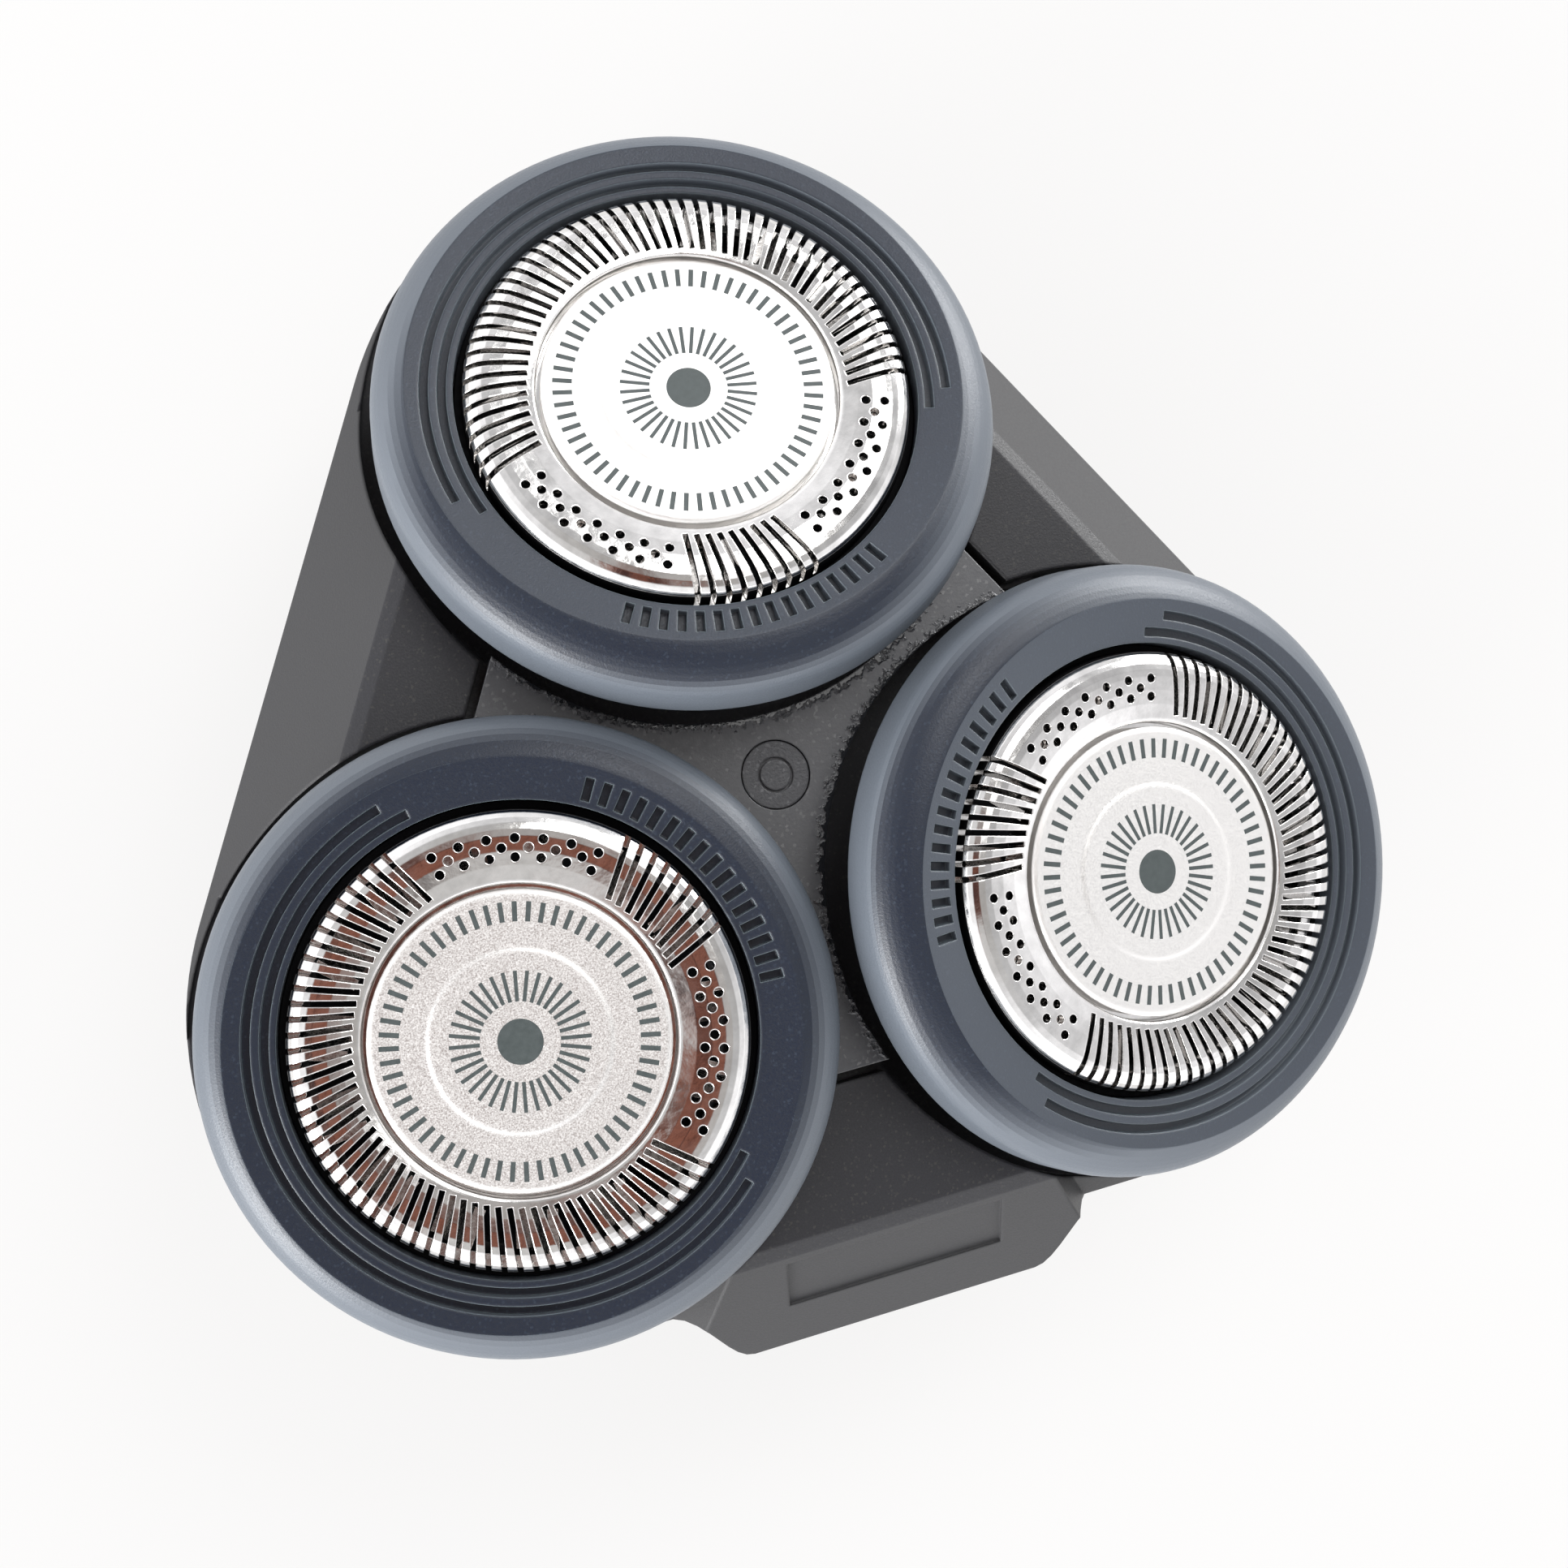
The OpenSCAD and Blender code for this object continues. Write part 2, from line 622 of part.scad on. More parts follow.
// Outer shape of the thumb pad below the parting line
module pad_solid(grow) {
    rise = chamber_h - band_h;
    difference() {
        translate([0, 0, z_floor]) linear_extrude(chamber_h - fit_gap) pad_outline(grow);
        rotate([0, 0, -90]) translate([side_u + pad_out + grow, 0, z_part - band_h])
            rotate([0, atan2(flare_run, rise), 0]) translate([0, -far, -far])
                cube([far, 2 * far, far]);
    }
}
module hair_chamber() {
    color([0.2, 0.2, 0.21]) difference() {
        union() {
            difference() {
                union() {
                    chamber_solid(0);
                    pad_solid(0);
                }
                difference() {
                    translate([0, 0, floor_t]) intersection() {
                        chamber_solid(wall);
                        translate([-far, -far, 0]) cube([2 * far, 2 * far, far]);
                    }
                    hinge_bar(hinge_notch + 1, hinge_swing + 0.9);
                }
                translate([0, 0, z_part - 1]) linear_extrude(2)
                    rounded_triangle(corner_centre, corner_r - wall);
                hinge_bar(hinge_notch, hinge_swing);
                translate([-hinge_notch, hinge_y, hinge_z]) cube([2 * hinge_notch, 9, 9]);
            }
            hinge_bar(knuckle_half, hinge_r);
            translate([-knuckle_half, hinge_y - hinge_swing - 0.4, hinge_z - 1.2])
                cube([2 * knuckle_half, hinge_swing, 1.2]);
            round_heads(pivot_r) translate([0, 0, z_floor + floor_t / 2])
                cylinder(h = boss_top - z_floor - floor_t / 2, r = boss_r);
            // rib that backs the button's spring
            translate([-3, -spring_back_u, z_floor + 0.5]) cube([6, 1, 5]);
        }
        round_heads(pivot_r) cylinder(h = far, r = hub_tube_r + shaft_play);
        hinge_bar(far, hinge_pin_r + 0.01);
        translate([0, 0, z_floor - 1]) cylinder(h = 1.9, r = pinion_stub_r + shaft_play);
        translate([-button_half - 0.2, -side_u - 8, window_z])
            cube([2 * button_half + 0.4, side_u + 8 - spring_back_u - 1.6, window_h]);
        translate([-2.4, -catch_u - 0.5, window_z]) cube([4.8, 3.4, far]);
        for (i = HEADS) at_side(i) translate([screw_u, 0, z_floor - 1])
            cylinder(h = 2.1, r = screw_r);
    }
}

// Hinge pin
module hinge_pin() {
    color([0.7, 0.71, 0.72]) hinge_bar(knuckle_half + ear_w + 0.4, hinge_pin_r);
}

// Release button with its stem and hook, pressed towards the middle
stem_end_u = spring_back_u + 4.2;
button_face = 0.5;
module release_button() {
    z0 = window_z + 0.2;
    h = window_h - 0.4;
    color([0.24, 0.25, 0.26]) {
        intersection() {
            difference() {
                pad_solid(button_face);
                translate([0, 2.4, 0]) pad_solid(button_face);
            }
            translate([-button_half, -far, z0]) cube([2 * button_half, far - side_u + 1.4, h]);
        }
        translate([-2, -side_u + 1.2, z0]) cube([4, side_u - 1.2 - stem_end_u, 1]);
        translate([-2, -side_u - 1, z0]) cube([4, 2.4, h - 1]);
        // hook over the catch's barb
        translate([-2, -catch_u + 2.6, z0]) cube([4, 0.7, h]);
        translate([-2, -catch_u + 1.9, z0 + h - 0.6]) cube([4, 0.8, 0.6]);
        // seat of the spring
        translate([-2, -stem_end_u - 0.8, z0]) cube([4, 0.8, h]);
    }
}

// A round wire swept along a helix about +Z
module coil(r, wire_r, height, turns) {
    steps = 14 * turns;
    sides = 6;
    points = [
        for (k = [0:steps]) for (s = [0:sides - 1])
            let (a = 360 * turns * k / steps, q = 360 * s / sides, d = r + wire_r * cos(q))
                [d * cos(a), d * sin(a), wire_r * (1 + sin(q)) + (height - 2 * wire_r) * k / steps]
    ];
    skin = [
        for (k = [0:steps - 1]) for (s = [0:sides - 1])
            let (n = (s + 1) % sides, b = k * sides)
                [b + s, b + sides + s, b + sides + n, b + n]
    ];
    caps = [[for (s = [0:sides - 1]) s], [for (s = [sides - 1:-1:0]) steps * sides + s]];
    polyhedron(points, concat(skin, caps));
}
module button_spring() {
    length = stem_end_u - spring_back_u - 2 * eps;
    color([0.75, 0.75, 0.76])
        translate([0, -spring_back_u - eps, window_z + 0.2 + (window_h - 0.4) / 2])
            rotate([90, 0, 0]) coil(1.1, 0.18, length, 5);
}

// Involute gears
function inv_point(base, a) = [base * (cos(a) + a * PI / 180 * sin(a)),
                               base * (sin(a) - a * PI / 180 * cos(a))];
function turn(p, a) = [p[0] * cos(a) - p[1] * sin(a), p[0] * sin(a) + p[1] * cos(a)];
function inv_deg(a) = tan(a) * 180 / PI - a;
pressure = 20;
module gear_outline(teeth) {
    pitch_r = gear_module * teeth / 2;
    base = pitch_r * cos(pressure);
    tip = pitch_r + gear_module;
    root = pitch_r - 1.25 * gear_module;
    start = sqrt(pow(max(root + 0.1, base) / base, 2) - 1) * 180 / PI;
    stop = sqrt(pow(tip / base, 2) - 1) * 180 / PI;
    half = 90 / teeth - backlash / 4 / pitch_r * 180 / PI + inv_deg(pressure);
    flank = [for (k = [0:4]) turn(inv_point(base, start + (stop - start) * k / 4), -half)];
    root_a = atan2(flank[0][1], flank[0][0]) - 0.4;
    polygon([
        for (j = [0:teeth - 1]) for (p = concat(
            [[root * cos(root_a), root * sin(root_a)]], flank,
            [for (k = [4:-1:0]) [flank[k][0], -flank[k][1]]],
            [[root * cos(root_a), -root * sin(root_a)]]
        )) turn(p, j * 360 / teeth)
    ]);
}
gear_foot_r = 1.2;
module drive_gear(i) {
    color([0.82, 0.8, 0.74]) at_pivot(i) difference() {
        union() {
            translate([0, 0, z_gear]) linear_extrude(gear_face) gear_outline(gear_teeth);
            translate([0, 0, z_gear]) cylinder(h = boss_top + 0.4 - z_gear, r = hub_tube_r);
            translate([0, 0, z_gear - 0.95]) cylinder(h = 1, r = gear_foot_r);
        }
        translate([0, 0, z_gear + 1]) cylinder(h = far, r = spindle_r + shaft_play);
        translate([-spindle_r - 0.6, -0.5, z_gear + 1]) cube([2 * spindle_r + 1.2, 1, far]);
        translate([0, 0, z_gear + gear_face - 0.7]) difference() {
            cylinder(h = 2, r = gear_module * gear_teeth / 2 - 2.2);
            translate([0, 0, -1]) cylinder(h = 4, r = hub_tube_r + 0.8);
        }
    }
}
// Spindle: slides in the gear's tube and carries the square tip that turns the cutter
module spindle(i) {
    foot = z_gear + 3;
    shoulder = boss_top + 2;
    tip_top = pivot_z + 0.25;
    neck_r = 1.25;
    color([0.8, 0.8, 0.78]) at_pivot(i) {
        translate([0, 0, foot]) cylinder(h = shoulder - foot, r = spindle_r);
        translate([-spindle_r - 0.5, -0.42, foot]) cube([2 * spindle_r + 1, 0.84, 3]);
        translate([0, 0, shoulder - eps]) cylinder(h = 2, r1 = spindle_r, r2 = neck_r);
        translate([0, 0, shoulder]) cylinder(h = pivot_z - 3 - shoulder, r = neck_r);
        intersection() {
            translate([-tip_side / 2, -tip_side / 2, pivot_z - 3.2])
                cube([tip_side, tip_side, 4]);
            union() {
                translate([0, 0, tip_top - neck_r]) sphere(r = neck_r);
                translate([0, 0, pivot_z - 4])
                    cylinder(h = tip_top - neck_r + 4 - pivot_z, r = neck_r);
            }
        }
    }
}
module spindle_spring(i) {
    color([0.75, 0.75, 0.76]) at_pivot(i) translate([0, 0, z_gear + 1 + eps])
        coil(spindle_r - 0.35, 0.17, 2 - 2 * eps, 4);
}
// Drive pinion, with the round socket and three dogs for the drive shaft
module drive_pinion() {
    hub_z = z_gear - socket_depth;
    color([0.82, 0.8, 0.74]) difference() {
        union() {
            translate([0, 0, z_gear]) linear_extrude(gear_face)
                rotate(90) gear_outline(pinion_teeth);
            translate([0, 0, z_gear]) cylinder(h = gear_face + 1.2, r = pinion_stub_r);
            translate([0, 0, hub_z]) cylinder(h = z_gear - hub_z + eps, r = pinion_hub_r);
            for (j = HEADS) rotate([0, 0, 120 * j]) translate([socket_r + 0.3, -0.8, hub_z - 0.8])
                cube([1.1, 1.6, 1]);
        }
        translate([0, 0, hub_z - 1]) cylinder(h = socket_depth + 1, r = socket_r);
    }
}

// Gear housing with the neck collar
module gear_housing() {
    color([0.16, 0.17, 0.18]) difference() {
        union() {
            difference() {
                cylinder(h = collar_h + plate_t, r = collar_r);
                translate([0, 0, -1]) cylinder(h = collar_h + 1, r = collar_r - collar_wall);
            }
            difference() {
                translate([0, 0, collar_h]) linear_extrude(z_floor - collar_h)
                    rounded_triangle(corner_centre, housing_r);
                translate([0, 0, collar_h + plate_t]) linear_extrude(z_floor)
                    rounded_triangle(corner_centre, housing_r - housing_wall);
            }
            for (i = HEADS) at_side(i) translate([screw_u, 0, collar_h])
                cylinder(h = z_floor - collar_h, r = 2.1);
        }
        translate([0, 0, collar_h - 1]) cylinder(h = 4, r = pinion_hub_r + shaft_play);
        round_heads(pivot_r) translate([0, 0, z_gear - 1.05])
            cylinder(h = 4, r = gear_foot_r + shaft_play);
        for (i = HEADS) at_side(i) translate([screw_u, 0, collar_h - 1])
            cylinder(h = far, r = screw_r + 0.1);
        // room for the screws' heads and the driver
        for (i = HEADS) at_side(i) translate([screw_u, 0, -1])
            cylinder(h = collar_h + 1, r = screw_head_r + swing_gap);
        // lock notches low in the collar's side
        for (i = HEADS) at_side(i) translate([collar_r - lock_depth, -lock_w / 2, lock_z])
            cube([lock_depth + 1, lock_w, lock_h]);
    }
}
module housing_screws() {
    color([0.6, 0.6, 0.62]) for (i = HEADS) at_side(i) translate([screw_u, 0, 0]) {
        difference() {
            translate([0, 0, collar_h - 0.9]) cylinder(h = 0.9, r = screw_head_r);
            for (a = [0, 90]) rotate([0, 0, a])
                translate([-1.1, -0.22, collar_h - 1.5]) cube([2.2, 0.44, 1]);
        }
        translate([0, 0, collar_h - eps]) cylinder(h = z_floor + 1 - collar_h, r = screw_r);
    }
}

for (i = HEADS) {
    skin_ring(i);
    guard(i);
    guard_insert(i);
    cutter(i);
    cutter_hub(i);
    retaining_ring(i);
    drive_gear(i);
    spindle(i);
    spindle_spring(i);
}
head_frame();
star_plate();
centre_pin();
hair_chamber();
hinge_pin();
release_button();
button_spring();
drive_pinion();
gear_housing();
housing_screws();
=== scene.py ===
import json
import math

import bpy
from mathutils import Matrix, Vector


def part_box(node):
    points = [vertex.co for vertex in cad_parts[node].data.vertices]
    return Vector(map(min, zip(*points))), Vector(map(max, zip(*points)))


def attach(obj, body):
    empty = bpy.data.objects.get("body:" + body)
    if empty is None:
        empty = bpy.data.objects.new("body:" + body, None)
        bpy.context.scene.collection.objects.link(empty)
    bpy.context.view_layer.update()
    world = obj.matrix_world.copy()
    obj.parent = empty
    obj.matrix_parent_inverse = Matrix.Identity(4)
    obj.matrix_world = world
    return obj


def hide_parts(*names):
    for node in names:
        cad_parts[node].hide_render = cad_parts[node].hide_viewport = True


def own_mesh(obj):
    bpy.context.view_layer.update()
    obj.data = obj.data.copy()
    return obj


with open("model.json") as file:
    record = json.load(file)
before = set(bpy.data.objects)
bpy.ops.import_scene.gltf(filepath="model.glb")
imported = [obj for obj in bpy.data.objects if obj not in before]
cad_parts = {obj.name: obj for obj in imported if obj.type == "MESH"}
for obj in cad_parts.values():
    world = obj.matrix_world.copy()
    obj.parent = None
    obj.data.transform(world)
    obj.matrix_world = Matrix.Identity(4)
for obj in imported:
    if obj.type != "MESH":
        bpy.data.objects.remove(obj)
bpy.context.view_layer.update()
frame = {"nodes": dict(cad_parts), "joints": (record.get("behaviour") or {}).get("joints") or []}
nodes = frame["nodes"]
joints = {joint["name"]: joint for joint in frame["joints"]}
mm = 0.001
heads = (1, 2, 3)

# The camera looks down on the three heads from a hand's length above and a little to the left.
# Its place and turn come from fitting the rims of the rings, caps and discs.
camera_place = Vector((-29.23, -4.55, 164.49)) * mm
camera_roll, camera_lean, camera_pitch = 0.257, 0.207, -0.028
camera_lens = 59.93

camera_data = bpy.data.cameras.new("camera")
camera_data.lens = camera_lens
camera_data.sensor_width = 36
camera_data.clip_start = 0.005
camera = bpy.data.objects.new("camera", camera_data)
view_turn = (Matrix.Rotation(camera_roll, 4, "Z") @ Matrix.Rotation(camera_lean, 4, "Y")
             @ Matrix.Rotation(camera_pitch, 4, "X"))
camera.matrix_world = Matrix.Translation(camera_place) @ view_turn.inverted()
bpy.context.scene.collection.objects.link(camera)
bpy.context.scene.camera = camera


# The gear housing with its neck collar is one injection moulding in black nylon, with a
# fine spark-eroded skin. Three pan-head screws of zinc-plated steel hold the chamber on it.
def wire(tree, start, socket, end, target):
    tree.links.new(start.outputs[socket], end.inputs[target])


def new_group(name, inputs, outputs):
    group = bpy.data.node_groups.new(name, "ShaderNodeTree")
    for label, kind, value in inputs:
        socket = group.interface.new_socket(label, in_out="INPUT", socket_type=kind)
        if value is not None:
            socket.default_value = value
    for label, kind in outputs:
        group.interface.new_socket(label, in_out="OUTPUT", socket_type=kind)
    return group, group.nodes.new("NodeGroupInput"), group.nodes.new("NodeGroupOutput")


def new_math(tree, operation, first, second):
    node = tree.nodes.new("ShaderNodeMath")
    node.operation = operation
    for socket, value in zip(node.inputs, (first, second)):
        if isinstance(value, (int, float)):
            socket.default_value = value
        else:
            tree.links.new(value, socket)
    return node.outputs[0]


FLOAT, INTEGER, VECTOR = "NodeSocketFloat", "NodeSocketInt", "NodeSocketVector"
grain_relief = 0.03 * mm
edge_highlight_width = 0.07 * mm
edge_highlight_cosine = 0.97
bright_grains_from = 0.9
bevel_samples = 6

# the skin that an eroded mould leaves: a fine even grain with a few brighter grains, and edges
# made paler by a painted highlight
grain_group, grain_in, grain_out = new_group(
    "moulded_grain",
    [("Grain Size", FLOAT, 0.2), ("Depth", FLOAT, 0.3), ("Edge Radius", FLOAT, 0.1),
     ("Edge Gain", FLOAT, 6.0)],
    [("Grain", FLOAT), ("Sparkle", FLOAT), ("Edge", FLOAT), ("Normal", VECTOR)],
)
place = grain_group.nodes.new("ShaderNodeTexCoord")
grain_scale = new_math(grain_group, "DIVIDE", 1 / mm, grain_in.outputs["Grain Size"])
grain_noise = grain_group.nodes.new("ShaderNodeTexNoise")
grain_noise.inputs["Detail"].default_value = 2
grain_cells = grain_group.nodes.new("ShaderNodeTexVoronoi")
for texture in (grain_noise, grain_cells):
    wire(grain_group, place, "Object", texture, "Vector")
    grain_group.links.new(grain_scale, texture.inputs["Scale"])
cell_value = grain_group.nodes.new("ShaderNodeSeparateColor")
wire(grain_group, grain_cells, "Color", cell_value, "Color")
sparkle = new_math(grain_group, "GREATER_THAN", cell_value.outputs["Red"], bright_grains_from)
sparkle = new_math(grain_group, "MULTIPLY", sparkle, cell_value.outputs["Green"])
rounded = grain_group.nodes.new("ShaderNodeBevel")
rounded.samples = bevel_samples
radius = new_math(grain_group, "MULTIPLY", grain_in.outputs["Edge Radius"], mm)
grain_group.links.new(radius, rounded.inputs["Radius"])
# a narrow rounding finds the edges; the mask it gives paints a paler highlight along them
edge_highlight_bevel = grain_group.nodes.new("ShaderNodeBevel")
edge_highlight_bevel.samples = bevel_samples
edge_highlight_bevel.inputs["Radius"].default_value = edge_highlight_width
surface = grain_group.nodes.new("ShaderNodeNewGeometry")
facing = grain_group.nodes.new("ShaderNodeVectorMath")
facing.operation = "DOT_PRODUCT"
wire(grain_group, edge_highlight_bevel, "Normal", facing, 0)
wire(grain_group, surface, "Normal", facing, 1)
turned = new_math(grain_group, "SUBTRACT", edge_highlight_cosine, facing.outputs["Value"])
edge_highlight = new_math(grain_group, "MULTIPLY", turned, grain_in.outputs["Edge Gain"])
edge_highlight = new_math(grain_group, "MINIMUM", edge_highlight, 1.0)
edge_highlight = new_math(grain_group, "MAXIMUM", edge_highlight, 0.0)
bump = grain_group.nodes.new("ShaderNodeBump")
bump.inputs["Distance"].default_value = grain_relief
wire(grain_group, grain_in, "Depth", bump, "Strength")
wire(grain_group, grain_noise, "Fac", bump, "Height")
wire(grain_group, rounded, "Normal", bump, "Normal")
wire(grain_group, grain_noise, "Fac", grain_out, "Grain")
grain_group.links.new(sparkle, grain_out.inputs["Sparkle"])
grain_group.links.new(edge_highlight, grain_out.inputs["Edge"])
wire(grain_group, bump, "Normal", grain_out, "Normal")


def new_material(name, metal=0.0, rough=0.5):
    material = bpy.data.materials.new(name)
    material.use_nodes = True
    shader = material.node_tree.nodes["Principled BSDF"]
    shader.inputs["Metallic"].default_value = metal
    shader.inputs["Roughness"].default_value = rough
    return material, material.node_tree, shader


def mix_colours(tree, factor, first, second):
    node = tree.nodes.new("ShaderNodeMix")
    node.data_type = "RGBA"
    tree.links.new(factor, node.inputs["Factor"])
    for socket, value in zip((node.inputs["A"], node.inputs["B"]), (first, second)):
        if isinstance(value, tuple):
            socket.default_value = (*value, 1)
        else:
            tree.links.new(value, socket)
    return node.outputs["Result"]


def map_value(tree, value, low, high, to_low, to_high):
    node = tree.nodes.new("ShaderNodeMapRange")
    for socket, number in zip(list(node.inputs)[1:5], (low, high, to_low, to_high)):
        socket.default_value = number
    tree.links.new(value, node.inputs["Value"])
    return node.outputs["Result"]


dark_grain_share = 0.75
painted_sheen_start, painted_sheen_full = 0.10, 0.30


def moulded_plastic(name, colour, bright, edge_highlight_colour, rough, grain, depth, edge_radius,
                    edge_gain=6.0, painted_sheen=None):
    """A plastic with the grain of its mould: colour, brighter grains, edges made paler by a
    painted highlight, and a painted sheen that makes it paler where it is seen aslant."""
    material, tree, shader = new_material(name)
    skin = tree.nodes.new("ShaderNodeGroup")
    skin.node_tree = grain_group
    for label, value in (("Grain Size", grain), ("Depth", depth), ("Edge Radius", edge_radius),
                         ("Edge Gain", edge_gain)):
        skin.inputs[label].default_value = value
    dark = tuple(dark_grain_share * part for part in colour)
    level = map_value(tree, skin.outputs["Grain"], 0.3, 0.7, 0.0, 1.0)
    body = mix_colours(tree, level, dark, colour)
    body = mix_colours(tree, skin.outputs["Sparkle"], body, bright)
    # painted sheen: the colour turns paler where the surface is seen aslant
    if painted_sheen:
        slant = tree.nodes.new("ShaderNodeLayerWeight")
        slant.inputs["Blend"].default_value = 0.5
        painted_sheen_level = map_value(tree, slant.outputs["Facing"], painted_sheen_start, painted_sheen_full, 0.0, 1.0)
        body = mix_colours(tree, painted_sheen_level, body, painted_sheen)
    # painted highlight: the edges turn paler
    body = mix_colours(tree, skin.outputs["Edge"], body, edge_highlight_colour)
    tree.links.new(body, shader.inputs["Base Color"])
    gloss = map_value(tree, skin.outputs["Grain"], 0.3, 0.7, rough + 0.06, rough - 0.06)
    tree.links.new(gloss, shader.inputs["Roughness"])
    tree.links.new(skin.outputs["Normal"], shader.inputs["Normal"])
    return material


def dress(names, material):
    """Gives CAD pieces their finish."""
    for name in names:
        mesh = nodes[name].data
        mesh.materials.clear()
        mesh.materials.append(material)


housing_black = moulded_plastic(
    "housing_black", (0.014, 0.015, 0.017), (0.026, 0.027, 0.028), (0.06, 0.06, 0.065),
    0.48, 0.13, 0.4, 0.2)
dress(["gear_housing"], housing_black)


scratch_relief = 0.02 * mm


def plain_steel(name, colour, rough, scratch_size, scratch_depth, edge_radius, stretch,
                dullest=0.82):
    """A bare or plated metal whose gloss varies along fine polishing marks."""
    material, tree, shader = new_material(name, metal=1.0, rough=rough)
    place = tree.nodes.new("ShaderNodeTexCoord")
    along = tree.nodes.new("ShaderNodeMapping")
    along.inputs["Scale"].default_value = stretch
    wire(tree, place, "Object", along, "Vector")
    marks = tree.nodes.new("ShaderNodeTexNoise")
    marks.inputs["Scale"].default_value = 1 / (scratch_size * mm)
    marks.inputs["Detail"].default_value = 3
    wire(tree, along, "Vector", marks, "Vector")
    darker = tuple(dullest * part for part in colour)
    level = map_value(tree, marks.outputs["Fac"], 0.3, 0.7, 0.0, 1.0)
    tree.links.new(mix_colours(tree, level, darker, colour), shader.inputs["Base Color"])
    gloss = map_value(tree, marks.outputs["Fac"], 0.3, 0.7, rough * 0.75, rough * 1.35)
    tree.links.new(gloss, shader.inputs["Roughness"])
    rounded = tree.nodes.new("ShaderNodeBevel")
    rounded.samples = bevel_samples
    rounded.inputs["Radius"].default_value = edge_radius * mm
    bump = tree.nodes.new("ShaderNodeBump")
    bump.inputs["Strength"].default_value = scratch_depth
    bump.inputs["Distance"].default_value = scratch_relief
    wire(tree, marks, "Fac", bump, "Height")
    wire(tree, rounded, "Normal", bump, "Normal")
    wire(tree, bump, "Normal", shader, "Normal")
    return material


zinc_steel = plain_steel("zinc_steel", (0.55, 0.55, 0.53), 0.32, 0.4, 0.3, 0.08, (1, 1, 1))
dress(["housing_screws"], zinc_steel)

# The drive train: a pinion with the motor's socket, three spur gears in natural acetal, and
# three spindles with square tips that springs of hard-drawn wire push into the cutters.
gear_white = moulded_plastic(
    "gear_white", (0.62, 0.61, 0.56), (0.72, 0.71, 0.67), (0.75, 0.74, 0.70),
    0.42, 0.3, 0.15, 0.1)
spindle_black = moulded_plastic(
    "spindle_black", (0.03, 0.03, 0.032), (0.045, 0.045, 0.045), (0.08, 0.08, 0.08),
    0.38, 0.15, 0.2, 0.08)
spring_wire = plain_steel("spring_wire", (0.6, 0.6, 0.6), 0.22, 0.15, 0.2, 0.02, (1, 1, 4))
dress([f"drive_gear_{k}" for k in heads] + ["drive_pinion"], gear_white)
dress([f"spindle_{k}" for k in heads], spindle_black)


def geometry_tree(name, inputs):
    """A tree that makes a mesh, with named inputs; also gives its ends and its inputs'
    identifiers."""
    tree = bpy.data.node_groups.new(name, "GeometryNodeTree")
    identifiers = {}
    for label, kind, value in inputs:
        socket = tree.interface.new_socket(label, in_out="INPUT", socket_type=kind)
        socket.default_value = value
        identifiers[label] = socket.identifier
    tree.interface.new_socket("Geometry", in_out="OUTPUT", socket_type="NodeSocketGeometry")
    start, end = tree.nodes.new("NodeGroupInput"), tree.nodes.new("NodeGroupOutput")
    return tree, start, end, identifiers


def finish_tree(tree, grown, socket, end, material):
    """Ends such a tree: its instances made real, in one material."""
    whole = tree.nodes.new("GeometryNodeRealizeInstances")
    coated = tree.nodes.new("GeometryNodeSetMaterial")
    coated.inputs["Material"].default_value = material
    wire(tree, grown, socket, whole, "Geometry")
    wire(tree, whole, "Geometry", coated, "Geometry")
    wire(tree, coated, "Geometry", end, "Geometry")


def grown_mesh(name, tree, identifiers, values):
    """What a tree makes with these values, as a plain mesh."""
    blank = bpy.data.objects.new("blank", bpy.data.meshes.new("blank"))
    bpy.context.scene.collection.objects.link(blank)
    maker = blank.modifiers.new(tree.name, "NODES")
    maker.node_group = tree
    for label, value in values.items():
        maker[identifiers[label]] = value
    shaped = blank.evaluated_get(bpy.context.evaluated_depsgraph_get())
    mesh = bpy.data.meshes.new_from_object(shaped)
    bpy.data.objects.remove(blank)
    mesh.name = name
    return mesh


ALONG_Y, ALONG_Z = 1, 2
spindle_turns, spindle_wire = 4, 0.17 * mm
coil_steps, wire_sides = 28, 10

# a spring of round wire, wound along +Z
spring_tree, spring_in, spring_out, spring_sockets = geometry_tree(
    "wound_spring",
    [("Turns", FLOAT, 4.0), ("Coil Radius", FLOAT, 0.001), ("Wire Radius", FLOAT, 0.0002),
     ("Length", FLOAT, 0.002)])
helix = spring_tree.nodes.new("GeometryNodeCurveSpiral")
helix.inputs["Resolution"].default_value = coil_steps
wire(spring_tree, spring_in, "Turns", helix, "Rotations")
wire(spring_tree, spring_in, "Coil Radius", helix, "Start Radius")
wire(spring_tree, spring_in, "Coil Radius", helix, "End Radius")
wire_thickness = new_math(spring_tree, "MULTIPLY", spring_in.outputs["Wire Radius"], 2.0)
helix_rise = new_math(spring_tree, "SUBTRACT", spring_in.outputs["Length"], wire_thickness)
spring_tree.links.new(helix_rise, helix.inputs["Height"])
wire_round = spring_tree.nodes.new("GeometryNodeCurvePrimitiveCircle")
wire_round.inputs["Resolution"].default_value = wire_sides
wire(spring_tree, spring_in, "Wire Radius", wire_round, "Radius")
drawn_wire = spring_tree.nodes.new("GeometryNodeCurveToMesh")
drawn_wire.inputs["Fill Caps"].default_value = True
wire(spring_tree, helix, "Curve", drawn_wire, "Curve")
wire(spring_tree, wire_round, "Curve", drawn_wire, "Profile Curve")
finish_tree(spring_tree, drawn_wire, "Mesh", spring_out, spring_wire)


